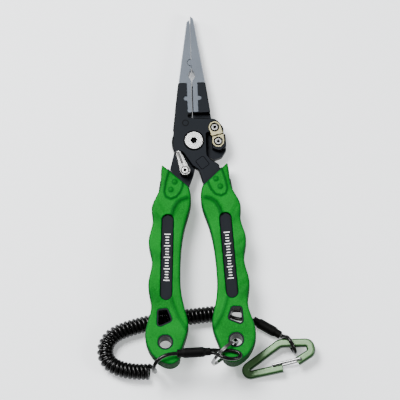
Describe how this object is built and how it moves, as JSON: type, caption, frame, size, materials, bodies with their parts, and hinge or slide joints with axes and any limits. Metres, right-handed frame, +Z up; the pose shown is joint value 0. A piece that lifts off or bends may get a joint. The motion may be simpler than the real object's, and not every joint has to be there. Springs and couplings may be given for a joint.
{
  "type": "fishing pliers",
  "caption": "Long-nose fishing pliers with side cutters, rubber grips, a lock lever, a split ring, and a coiled tether that ends in a wire-gate belt clip.",
  "frame": {"origin": "on the table under the middle of the footprint of the pliers, tether not counted", "axes": "+Y runs from the handles to the jaw tips, +X to the handle that carries the ring, +Z up out of the upper face"},
  "size_m": [0.1394, 0.2379, 0.0354],
  "materials": {
    "anodised_frame": "satin",
    "jaw_steel": "bead blasted",
    "cutter_steel": "satin",
    "screw_steel": "satin",
    "polished_steel": "polished",
    "spring_steel": "satin",
    "grip_rubber": "matte",
    "coil_cover": "glossy",
    "sleeve_cover": "matte",
    "crimp_metal": "satin",
    "clip_metal": "anodised"
  },
  "bodies": {
    "upper_half": {"upper_frame": "anodised_frame", "left_jaw": "jaw_steel", "left_jaw_screws": "screw_steel", "upper_cutter": "cutter_steel", "upper_cutter_screw": "cutter_steel", "right_grip": "grip_rubber", "pivot_screw": "polished_steel", "front_washer": "spring_steel", "stop_pin": "polished_steel", "cover_plate": "screw_steel", "opening_spring": "spring_steel", "coil": "coil_cover", "lead_cable": "coil_cover", "ring_loop": "coil_cover", "ring_sleeve": "sleeve_cover", "ring_crimp": "crimp_metal", "tail_cable": "coil_cover", "clip_sleeve": "sleeve_cover", "clip_crimp": "crimp_metal", "clip_loop": "coil_cover"},
    "lower_half": {"lower_frame": "anodised_frame", "right_jaw": "jaw_steel", "right_jaw_screws": "screw_steel", "lower_cutter": "cutter_steel", "lower_cutter_screw": "cutter_steel", "left_grip": "grip_rubber", "pivot_nut": "polished_steel", "rear_washer": "spring_steel", "thrust_washer": "spring_steel", "spring_pin": "spring_steel", "lock_screw": "polished_steel", "lock_washer": "spring_steel"},
    "lock_lever": {"lock_lever": "polished_steel"},
    "split_ring": {"split_ring": "polished_steel"},
    "belt_clip": {"belt_clip": "clip_metal"},
    "clip_gate": {"clip_gate": "polished_steel"}
  },
  "joints": [
    {"name": "jaw_pivot", "type": "hinge", "parent": "upper_half", "child": "lower_half", "pos_m": [0, 0.03184, 0.00986], "axis": [0, -0.0751, -0.9972], "range_deg": [0, 18]},
    {"name": "lock_swing", "type": "hinge", "parent": "lower_half", "child": "lock_lever", "pos_m": [-0.0063, 0.01208, 0.01641], "axis": [0, 0.0751, 0.9972], "range_deg": [0, 35]},
    {"name": "ring_spin", "type": "hinge", "parent": "upper_half", "child": "split_ring", "pos_m": [0.01503, -0.10722, 0.02083], "axis": [0.6559, -0.7527, 0.0567], "continuous": true},
    {"name": "clip_swing", "type": "hinge", "parent": "upper_half", "child": "belt_clip", "pos_m": [0.0606, -0.10046, -0.00004], "axis": [0, 0, 1], "range_deg": [0, 15]},
    {"name": "gate_swing", "type": "hinge", "parent": "belt_clip", "child": "clip_gate", "pos_m": [0.06326, -0.1111, 0.00741], "axis": [0.139, -0.0258, -0.99], "range_deg": [0, 16]}
  ]
}
